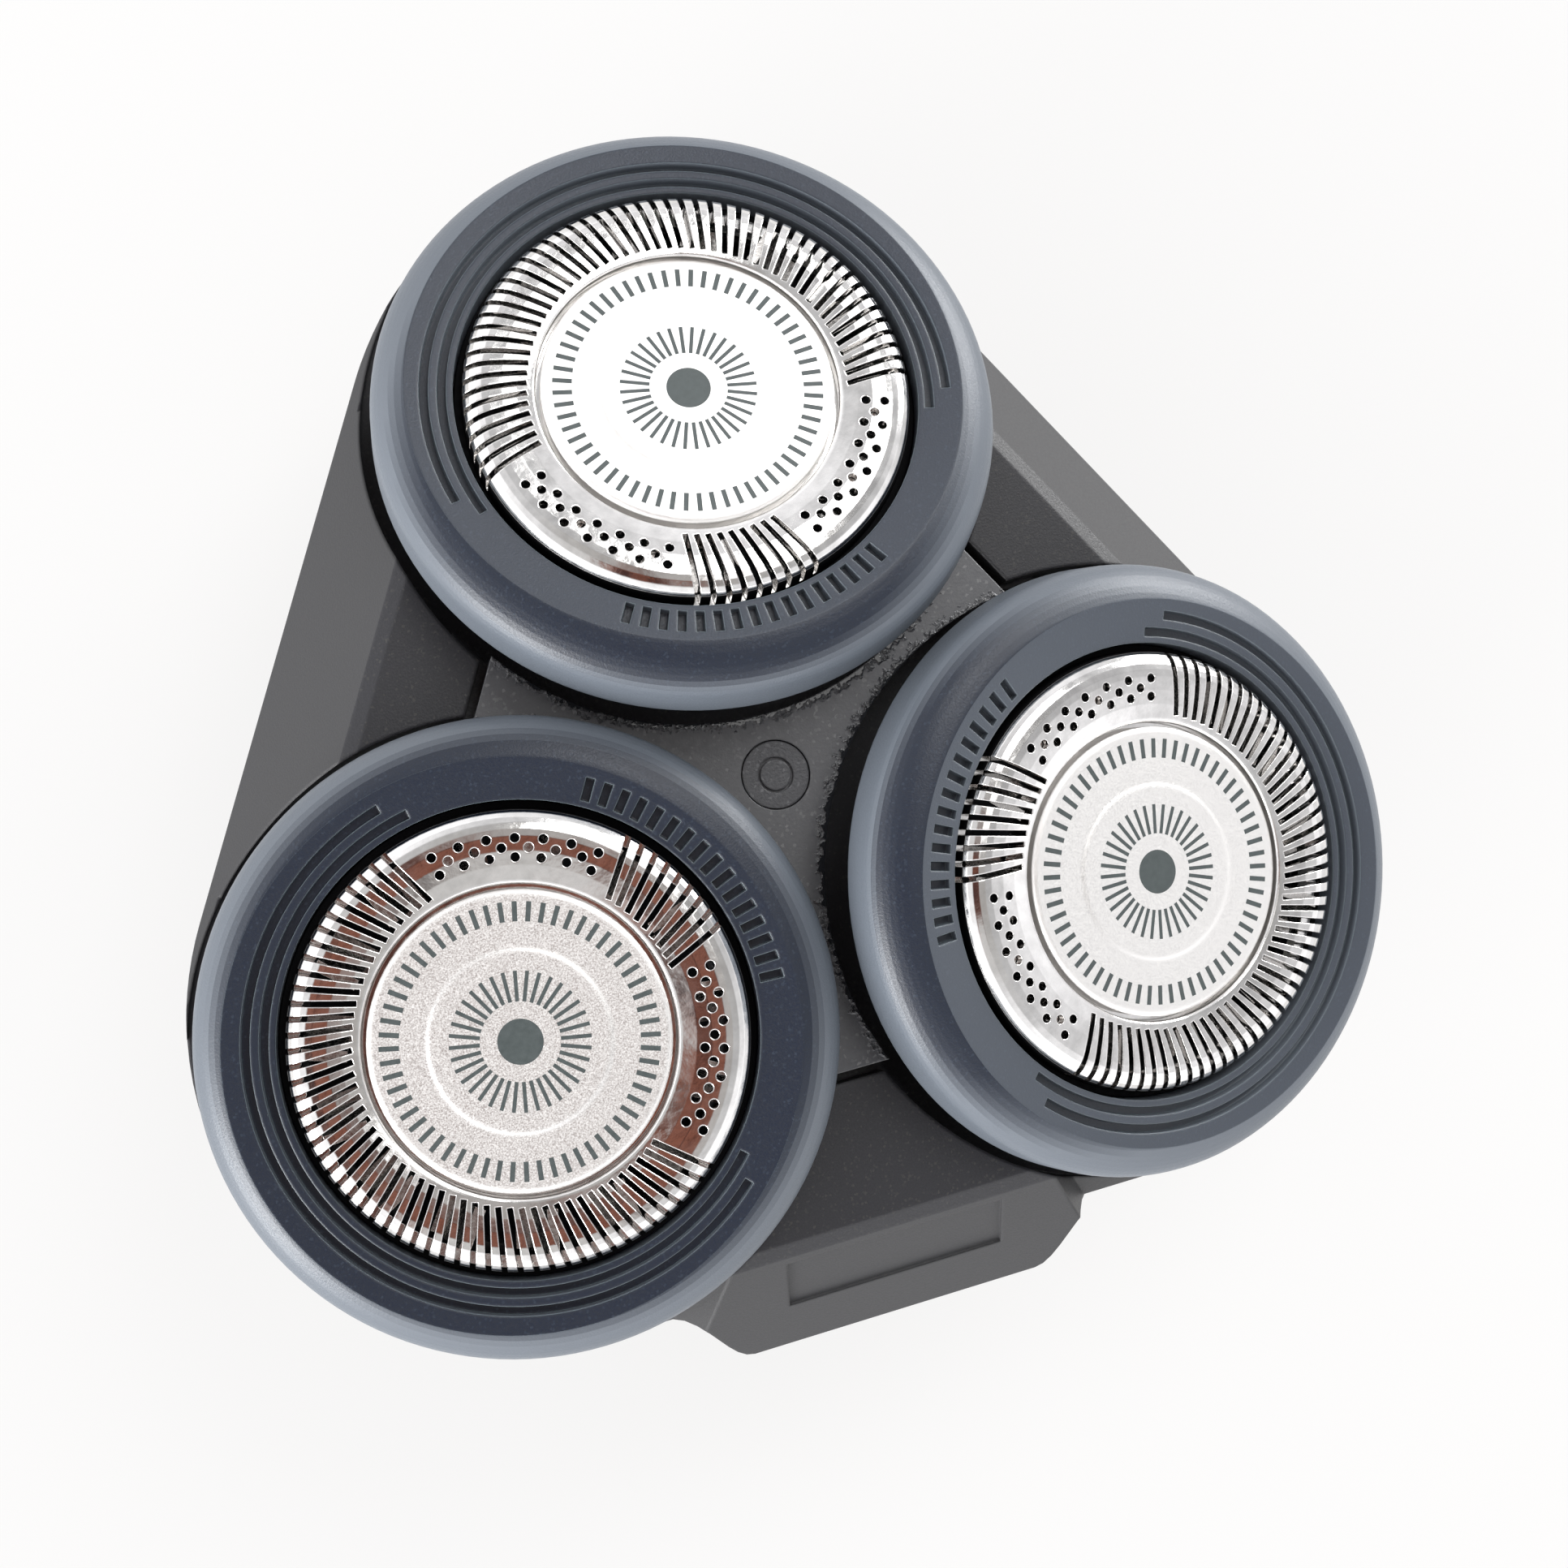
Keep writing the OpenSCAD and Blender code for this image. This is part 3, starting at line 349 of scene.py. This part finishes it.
def wound_spring(node, turns, wire_radius, along, body, seat_high):
    """A spring in the place of a CAD node, carried by the body of its joint."""
    low, high = (Vector(corner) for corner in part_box(node))
    middle = (low + high) / 2
    length = (high - low)[along]
    coil_radius = (high - low).x / 2 - wire_radius
    mesh = grown_mesh(node, spring_tree, spring_sockets, {
        "Turns": float(turns), "Coil Radius": coil_radius, "Wire Radius": wire_radius,
        "Length": length})
    mesh.transform(Matrix.Translation((0, 0, wire_radius - length / 2)))
    if along == ALONG_Y:
        mesh.transform(Matrix.Rotation(math.pi / 2, 4, "X"))
    mesh.transform(Matrix.Translation(middle))
    piece = bpy.data.objects.new(f"wound_{node}", mesh)
    bpy.context.scene.collection.objects.link(piece)
    seat = middle.copy()
    seat[along] = high[along] if seat_high else low[along]
    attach(piece, body)
    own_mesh(piece)
    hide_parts(node)


for k in heads:
    wound_spring(f"spindle_spring_{k}", spindle_turns, spindle_wire, ALONG_Z, f"gear_{k}",
                 seat_high=False)

# The hair chamber is the lower shell of the same charcoal plastic as the head frame. The
# steel hinge pin is pressed into it, and a spring pushes the release button out.
button_turns, button_wire = 5, 0.18 * mm

chamber_charcoal = moulded_plastic(
    "chamber_charcoal", (0.016, 0.016, 0.019), (0.030, 0.030, 0.031), (0.06, 0.06, 0.065),
    0.46, 0.13, 0.4, 0.25)
button_grey = moulded_plastic(
    "button_grey", (0.045, 0.047, 0.052), (0.07, 0.07, 0.075), (0.12, 0.12, 0.13),
    0.42, 0.13, 0.35, 0.15)
pin_steel = plain_steel("pin_steel", (0.62, 0.62, 0.61), 0.2, 0.3, 0.2, 0.05, (6, 1, 1))
dress(["hair_chamber"], chamber_charcoal)
dress(["release_button"], button_grey)
dress(["hinge_pin"], pin_steel)
wound_spring("button_spring", button_turns, button_wire, ALONG_Y, "base",
             seat_high=True)

# The head frame carries the three heads. It is one moulding in charcoal ABS with a fine
# metallic fleck, eroded matt on its flanks; a painted sheen makes it paler where it is seen
# aslant.
frame_charcoal = moulded_plastic(
    "frame_charcoal", (0.016, 0.016, 0.020), (0.032, 0.031, 0.030), (0.06, 0.06, 0.065),
    0.46, 0.12, 0.45, 0.3, 3.0, (0.032, 0.032, 0.034))
dress(["head_frame"], frame_charcoal)

# The star plate is a darker, glossier moulding that snaps between the three wells, held by a
# flush centre pin. Along the edges of its arms, under the rings, a thin film of blade oil gives
# gloss and swell, and a painted shade darkens its colour.
pivots = [Vector(joints[f"tilt_{k}"]["pos_m"]) for k in heads]
oil_and_shade_start = 16.9 * mm
oil_and_shade_end = 16.6 * mm
oil_and_shade_ragged = 0.3 * mm
film_swell = 0.12 * mm
oil_gloss = 0.07
mottle_size = 0.45 * mm

# how far a point lies from the axis of a head
axis_group, axis_in, axis_out = new_group(
    "axis_distance", [("Centre", VECTOR, None), ("Axis", VECTOR, None)], [("Distance", FLOAT)])
axis_place = axis_group.nodes.new("ShaderNodeTexCoord")
axis_arm = axis_group.nodes.new("ShaderNodeVectorMath")
axis_arm.operation = "SUBTRACT"
wire(axis_group, axis_place, "Object", axis_arm, 0)
wire(axis_group, axis_in, "Centre", axis_arm, 1)
axis_across = axis_group.nodes.new("ShaderNodeVectorMath")
axis_across.operation = "CROSS_PRODUCT"
wire(axis_group, axis_arm, "Vector", axis_across, 0)
wire(axis_group, axis_in, "Axis", axis_across, 1)
axis_span = axis_group.nodes.new("ShaderNodeVectorMath")
axis_span.operation = "LENGTH"
wire(axis_group, axis_across, "Vector", axis_span, 0)
wire(axis_group, axis_span, "Value", axis_out, "Distance")


def nearest_axis(tree, upright=False):
    """The distance to the nearest head's own or upright axis, as a socket in a tree."""
    nearest = None
    for k in heads:
        away = tree.nodes.new("ShaderNodeGroup")
        away.node_tree = axis_group
        away.inputs["Centre"].default_value = pivots[k - 1]
        tilted = Vector(joints[f"cutter_spin_{k}"]["axis"]).normalized()
        away.inputs["Axis"].default_value = (0, 0, 1) if upright else tilted
        distance = away.outputs["Distance"]
        nearest = distance if nearest is None else new_math(tree, "MINIMUM", nearest, distance)
    return nearest


plate_dark, plate_tree, plate_shader = new_material("plate_dark")
plate_place = plate_tree.nodes.new("ShaderNodeTexCoord")
plate_skin = plate_tree.nodes.new("ShaderNodeGroup")
plate_skin.node_tree = grain_group
plate_skin.inputs["Grain Size"].default_value = 0.16
plate_skin.inputs["Depth"].default_value = 0.3
plate_skin.inputs["Edge Radius"].default_value = 0.1
mottle = plate_tree.nodes.new("ShaderNodeTexNoise")
mottle.inputs["Scale"].default_value = 1 / mottle_size
mottle.inputs["Detail"].default_value = 4
wire(plate_tree, plate_place, "Object", mottle, "Vector")
ragged = map_value(plate_tree, mottle.outputs["Fac"], 0.3, 0.7, -oil_and_shade_ragged, oil_and_shade_ragged)
oil_and_shade_edge = new_math(plate_tree, "ADD", nearest_axis(plate_tree, upright=True), ragged)
oil_and_shade = map_value(plate_tree, oil_and_shade_edge, oil_and_shade_start, oil_and_shade_end, 0.0, 1.0)
plate_level = map_value(plate_tree, mottle.outputs["Fac"], 0.2, 0.8, 0.0, 1.0)
plate_colour = mix_colours(plate_tree, plate_level, (0.048, 0.050, 0.057), (0.085, 0.087, 0.094))
plate_colour = mix_colours(plate_tree, plate_skin.outputs["Sparkle"], plate_colour,
                           (0.15, 0.15, 0.155))
# painted shade: the plate turns darker along the rings' edges
plate_colour = mix_colours(plate_tree, oil_and_shade, plate_colour, (0.020, 0.021, 0.024))
plate_tree.links.new(plate_colour, plate_shader.inputs["Base Color"])
plate_gloss = map_value(plate_tree, mottle.outputs["Fac"], 0.3, 0.7, 0.30, 0.42)
plate_matt = new_math(plate_tree, "SUBTRACT", 1.0, oil_and_shade)
plate_rough = new_math(plate_tree, "MULTIPLY", plate_gloss, plate_matt)
plate_rough = new_math(plate_tree, "MAXIMUM", plate_rough, oil_gloss)
plate_tree.links.new(plate_rough, plate_shader.inputs["Roughness"])
plate_shader.inputs["Specular IOR Level"].default_value = 0.8
swell = plate_tree.nodes.new("ShaderNodeBump")
swell.inputs["Distance"].default_value = film_swell
swell.inputs["Strength"].default_value = 0.5
plate_tree.links.new(oil_and_shade, swell.inputs["Height"])
wire(plate_tree, plate_skin, "Normal", swell, "Normal")
wire(plate_tree, swell, "Normal", plate_shader, "Normal")
dress(["star_plate"], plate_dark)
pin_dark = moulded_plastic(
    "pin_dark", (0.085, 0.087, 0.095), (0.16, 0.16, 0.17), (0.18, 0.18, 0.19),
    0.32, 0.16, 0.6, 0.12)
dress(["centre_pin"], pin_dark)

# Each skin ring is a domed ring of soft blue-grey plastic that glides on the skin. A retaining
# ring clicked in from below holds the cap, and two small pins let the head tilt.
# a painted sheen pales the ring where it is seen aslant, and a painted highlight pales its edges
ring_blue = moulded_plastic(
    "ring_blue", (0.007, 0.012, 0.025), (0.016, 0.024, 0.040), (0.14, 0.18, 0.20),
    0.40, 0.12, 0.45, 0.2, 24.0, (0.112, 0.128, 0.150))
retainer_black = moulded_plastic(
    "retainer_black", (0.018, 0.019, 0.021), (0.032, 0.032, 0.032), (0.06, 0.06, 0.06),
    0.45, 0.14, 0.3, 0.1)
dress([f"skin_ring_{k}" for k in heads], ring_blue)
dress([f"retaining_ring_{k}" for k in heads], retainer_black)

# The cutters are punched and ground from stainless strip and sit on moulded hubs. Their blade
# tips run just under the slots of the caps.
blade_steel = plain_steel("blade_steel", (0.58, 0.56, 0.54), 0.24, 0.25, 0.4, 0.04, (1, 1, 3))
hub_grey = moulded_plastic(
    "hub_grey", (0.05, 0.05, 0.052), (0.075, 0.075, 0.075), (0.11, 0.11, 0.11),
    0.4, 0.14, 0.3, 0.08)
dress([f"cutter_{k}" for k in heads], blade_steel)
dress([f"cutter_hub_{k}" for k in heads], hub_grey)

# The caps are drawn from thin stainless sheet, slotted and drilled, and polished to a mirror.
# The satin disc in each cap is blanked from the same sheet and pressed in.
foot_radius = 12.02 * mm
foot_blend = 0.03 * mm
foot_painted_shade = (("Base Color", (0.012, 0.012, 0.013)), ("Roughness", (0.7, 0.7, 0.7)))

cap_mirror = plain_steel("cap_mirror", (0.90, 0.885, 0.87), 0.10, 0.9, 0.55, 0.10, (1, 1, 1))
disc_satin = plain_steel("disc_satin", (0.88, 0.865, 0.845), 0.42, 0.08, 0.035, 0.30,
                         (1, 1, 1), 0.96)

# the foot of each cap stands in the dark gap round it: painted shade makes it near-black, and it
# is rough
foot_tree = cap_mirror.node_tree
foot_shader = foot_tree.nodes["Principled BSDF"]
foot_shade = map_value(foot_tree, nearest_axis(foot_tree), foot_radius, foot_radius + foot_blend,
                 0.0, 1.0)
for label, shaded_foot in foot_painted_shade:
    bare = foot_shader.inputs[label].links[0].from_socket
    foot_tree.links.new(mix_colours(foot_tree, foot_shade, bare, shaded_foot),
                        foot_shader.inputs[label])
dress([f"guard_{k}" for k in heads], cap_mirror)
dress([f"guard_insert_{k}" for k in heads], disc_satin)

# A plain scale is pad-printed on each disc in dark grey enamel: a ring of ticks near its rim,
# a ring of bars half-way in and a dot in the middle.
print_thickness = 0.012
tick_count, tick_in, tick_out, tick_width = 60, 6.25, 7.3, 0.26
bar_count, bar_in, bar_out, bar_width = 36, 2.1, 3.7, 0.2
dot_radius = 1.2
dot_sides = 48
enamel_grain = 0.3 * mm
search_margin = 1 * mm

enamel_grey, enamel_tree, enamel_shader = new_material("enamel_grey", rough=0.4)
enamel_place = enamel_tree.nodes.new("ShaderNodeTexCoord")
enamel_noise = enamel_tree.nodes.new("ShaderNodeTexNoise")
enamel_noise.inputs["Scale"].default_value = 1 / enamel_grain
wire(enamel_tree, enamel_place, "Object", enamel_noise, "Vector")
enamel_tree.links.new(
    mix_colours(enamel_tree, enamel_noise.outputs["Fac"], (0.044, 0.055, 0.055),
                (0.066, 0.080, 0.080)),
    enamel_shader.inputs["Base Color"])
enamel_tree.links.new(
    map_value(enamel_tree, enamel_noise.outputs["Fac"], 0.3, 0.7, 0.34, 0.46),
    enamel_shader.inputs["Roughness"])

# bars set round a circle: the tree that prints one ring of the scale
scale_tree, scale_in, scale_out, scale_sockets = geometry_tree(
    "printed_ring",
    [("Count", INTEGER, 12), ("Inner Radius", FLOAT, 1.0), ("Outer Radius", FLOAT, 2.0),
     ("Bar Width", FLOAT, 0.2), ("Thickness", FLOAT, 0.01)])
middle = new_math(scale_tree, "ADD", scale_in.outputs["Inner Radius"],
                  scale_in.outputs["Outer Radius"])
middle = new_math(scale_tree, "MULTIPLY", middle, 0.5)
bar_length = new_math(scale_tree, "SUBTRACT", scale_in.outputs["Outer Radius"],
                      scale_in.outputs["Inner Radius"])
stations = scale_tree.nodes.new("GeometryNodeMeshCircle")
wire(scale_tree, scale_in, "Count", stations, "Vertices")
scale_tree.links.new(middle, stations.inputs["Radius"])
bar_size = scale_tree.nodes.new("ShaderNodeCombineXYZ")
scale_tree.links.new(bar_length, bar_size.inputs["X"])
wire(scale_tree, scale_in, "Bar Width", bar_size, "Y")
wire(scale_tree, scale_in, "Thickness", bar_size, "Z")
bar = scale_tree.nodes.new("GeometryNodeMeshCube")
wire(scale_tree, bar_size, "Vector", bar, "Size")
outward = scale_tree.nodes.new("FunctionNodeAlignRotationToVector")
outward.axis = "X"
position = scale_tree.nodes.new("GeometryNodeInputPosition")
wire(scale_tree, position, "Position", outward, "Vector")
bars = scale_tree.nodes.new("GeometryNodeInstanceOnPoints")
wire(scale_tree, stations, "Mesh", bars, "Points")
wire(scale_tree, bar, "Mesh", bars, "Instance")
wire(scale_tree, outward, "Rotation", bars, "Rotation")
finish_tree(scale_tree, bars, "Instances", scale_out, enamel_grey)


def printed_ring(name, count, inner, outer, width):
    """A ring of printed bars, flat on the XY plane."""
    return grown_mesh(name, scale_tree, scale_sockets, {
        "Count": count, "Inner Radius": inner * mm, "Outer Radius": outer * mm,
        "Bar Width": width * mm, "Thickness": print_thickness * mm})


def printed_dot(name):
    rim = [(dot_radius * mm * math.cos(2 * math.pi * i / dot_sides),
            dot_radius * mm * math.sin(2 * math.pi * i / dot_sides)) for i in range(dot_sides)]
    half = print_thickness * mm / 2
    points = [(x, y, -half) for x, y in rim] + [(x, y, half) for x, y in rim]
    faces = [tuple(reversed(range(dot_sides))), tuple(range(dot_sides, 2 * dot_sides))]
    for i in range(dot_sides):
        j = (i + 1) % dot_sides
        faces.append((i, j, dot_sides + j, dot_sides + i))
    mesh = bpy.data.meshes.new(name)
    mesh.from_pydata(points, [], faces)
    mesh.materials.append(enamel_grey)
    return mesh


def disc_face(k):
    """The place and turn of the disc's printed faces on head k, from the head's own axis."""
    spin = joints[f"cutter_spin_{k}"]
    axis = Vector(spin["axis"]).normalized()
    centre = Vector(spin["pos_m"])
    outward = Vector((pivots[k - 1].x, pivots[k - 1].y, 0)).normalized()
    side = axis.cross(outward).normalized()
    turn = Matrix((side.cross(axis), side, axis)).transposed().to_4x4()
    return centre, axis, turn


for k in heads:
    centre, axis, turn = disc_face(k)
    rise_of = {}
    for zone, low, high in (("rim", tick_in, tick_out), ("plateau", 0, bar_out)):
        heights = []
        for vertex in nodes[f"guard_insert_{k}"].data.vertices:
            arm = vertex.co - centre
            rise = arm.dot(axis)
            reach = (arm - rise * axis).length
            if low * mm - search_margin <= reach <= high * mm + search_margin:
                heights.append(rise)
        rise_of[zone] = max(heights)
    prints = (
        ("scale_ticks", "rim", printed_ring("ticks", tick_count, tick_in, tick_out, tick_width)),
        ("scale_bars", "plateau", printed_ring("bars", bar_count, bar_in, bar_out, bar_width)),
        ("scale_dot", "plateau", printed_dot("dot")),
    )
    for label, zone, mesh in prints:
        mesh.transform(Matrix.Translation(centre + axis * rise_of[zone]) @ turn)
        piece = bpy.data.objects.new(f"{label}_{k}", mesh)
        bpy.context.scene.collection.objects.link(piece)
        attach(piece, f"cap_{k}")

# The set: a white table that runs out of view, a white room, a large soft lamp low on the
# left, a smaller one low on the right, a weak one behind, and a small one above that gives
# the star plate its sheen.
table_size = 4.0
table_glow_share = 0.8
room_strength = 2.9
backdrop_grey = (0.33, 0.33, 0.33)
table_mesh = bpy.data.meshes.new("table")
half = table_size / 2
table_mesh.from_pydata([(-half, -half, 0), (half, -half, 0), (half, half, 0), (-half, half, 0)],
                       [], [(0, 1, 2, 3)])
table = bpy.data.objects.new("table", table_mesh)
bpy.context.scene.collection.objects.link(table)
table_white, table_tree, table_shader = new_material("table_white", rough=0.8)
table_shader.inputs["Base Color"].default_value = (0.70, 0.695, 0.69, 1)
table_shader.inputs["Specular IOR Level"].default_value = 0.1
table_glow = table_tree.nodes.new("ShaderNodeEmission")
table_glow.inputs["Color"].default_value = (0.96, 0.955, 0.95, 1)
table_path = table_tree.nodes.new("ShaderNodeLightPath")
table_mix = table_tree.nodes.new("ShaderNodeMixShader")
seen = new_math(table_tree, "MAXIMUM", table_path.outputs["Is Camera Ray"],
                table_path.outputs["Is Glossy Ray"])
seen = new_math(table_tree, "MAXIMUM", seen, table_path.outputs["Is Transmission Ray"])
table_tree.links.new(new_math(table_tree, "MULTIPLY", seen, table_glow_share),
                     table_mix.inputs["Fac"])
wire(table_tree, table_shader, "BSDF", table_mix, 1)
wire(table_tree, table_glow, "Emission", table_mix, 2)
wire(table_tree, table_mix, "Shader", table_tree.nodes["Material Output"], "Surface")
table_mesh.materials.append(table_white)

# the room: bright white sides, darker overhead where the camera and the hands that hold it
# keep the light off, and a warm dark patch there
room = bpy.data.worlds.new("room")
room.use_nodes = True
bpy.context.scene.world = room
room_tree = room.node_tree
room_light = room_tree.nodes["Background"]
room_place = room_tree.nodes.new("ShaderNodeTexCoord")
room_axes = room_tree.nodes.new("ShaderNodeSeparateXYZ")
wire(room_tree, room_place, "Generated", room_axes, "Vector")
room_ramp = room_tree.nodes.new("ShaderNodeValToRGB")
stops = ((0.0, (0.65, 0.65, 0.66)), (0.40, (0.90, 0.90, 0.92)), (0.62, (0.50, 0.50, 0.51)),
         (0.80, (0.30, 0.30, 0.305)), (0.93, (0.24, 0.235, 0.23)), (1.0, (0.20, 0.19, 0.185)))
for index, (place_on, colour) in enumerate(stops):
    if index < 2:
        stop = room_ramp.color_ramp.elements[index]
        stop.position = place_on
    else:
        stop = room_ramp.color_ramp.elements.new(place_on)
    stop.color = (*colour, 1)
room_patches = room_tree.nodes.new("ShaderNodeTexNoise")
room_patches.inputs["Scale"].default_value = 4.5
room_patches.inputs["Detail"].default_value = 1
wire(room_tree, room_place, "Generated", room_patches, "Vector")
patch = map_value(room_tree, room_patches.outputs["Fac"], 0.3, 0.7, -0.04, 0.04)
room_height = new_math(room_tree, "ADD", room_axes.outputs["Z"], patch)
room_tree.links.new(room_height, room_ramp.inputs["Fac"])
room_side = room_tree.nodes.new("ShaderNodeVectorMath")
room_side.operation = "DOT_PRODUCT"
room_side.inputs[1].default_value = (-0.85, -0.5, 0)
wire(room_tree, room_place, "Generated", room_side, 0)
side_level = map_value(room_tree, room_side.outputs["Value"], -0.9, 0.6, 0.35, 1.0)
side_colour = mix_colours(room_tree, side_level, (0.0, 0.0, 0.0), room_ramp.outputs["Color"])
shade = room_tree.nodes.new("ShaderNodeVectorMath")
shade.operation = "DOT_PRODUCT"
shade.inputs[1].default_value = Vector((-0.20, -0.12, 0.97)).normalized()
wire(room_tree, room_place, "Generated", shade, 0)
shade_edge = new_math(room_tree, "ADD", shade.outputs["Value"], patch)
shade_level = map_value(room_tree, shade_edge, 0.955, 0.99, 0.0, 1.0)
streaks = room_tree.nodes.new("ShaderNodeTexNoise")
streaks.inputs["Scale"].default_value = 11
streaks.inputs["Detail"].default_value = 2
wire(room_tree, room_place, "Generated", streaks, "Vector")
streak_level = map_value(room_tree, streaks.outputs["Fac"], 0.35, 0.68, 0.0, 1.0)
shade_colour = mix_colours(room_tree, streak_level, (0.012, 0.006, 0.006), (0.11, 0.042, 0.028))
shaded = mix_colours(room_tree, shade_level, side_colour, shade_colour)
room_path = room_tree.nodes.new("ShaderNodeLightPath")
room_colour = mix_colours(room_tree, room_path.outputs["Is Camera Ray"], shaded,
                          backdrop_grey)
room_tree.links.new(room_colour, room_light.inputs["Color"])
room_light.inputs["Strength"].default_value = room_strength

lamps = (
    ("lamp_left", (-0.54, -0.24, 0.12), 0.34, 5.0),
    ("lamp_back", (0.16, 0.22, 0.44), 0.24, 0.8),
    ("lamp_right", (0.40, 0.26, 0.13), 0.24, 1.8),
    ("lamp_above", (0.105, 0.02, 0.50), 0.13, 0.07),
)
for label, spot, size, power in lamps:
    lamp_data = bpy.data.lights.new(label, "AREA")
    lamp_data.size = size
    lamp_data.energy = power
    lamp = bpy.data.objects.new(label, lamp_data)
    lamp.location = spot
    lamp.rotation_euler = (-Vector(spot)).to_track_quat("-Z", "Y").to_euler()
    bpy.context.scene.collection.objects.link(lamp)

bpy.context.scene.view_settings.view_transform = "Standard"
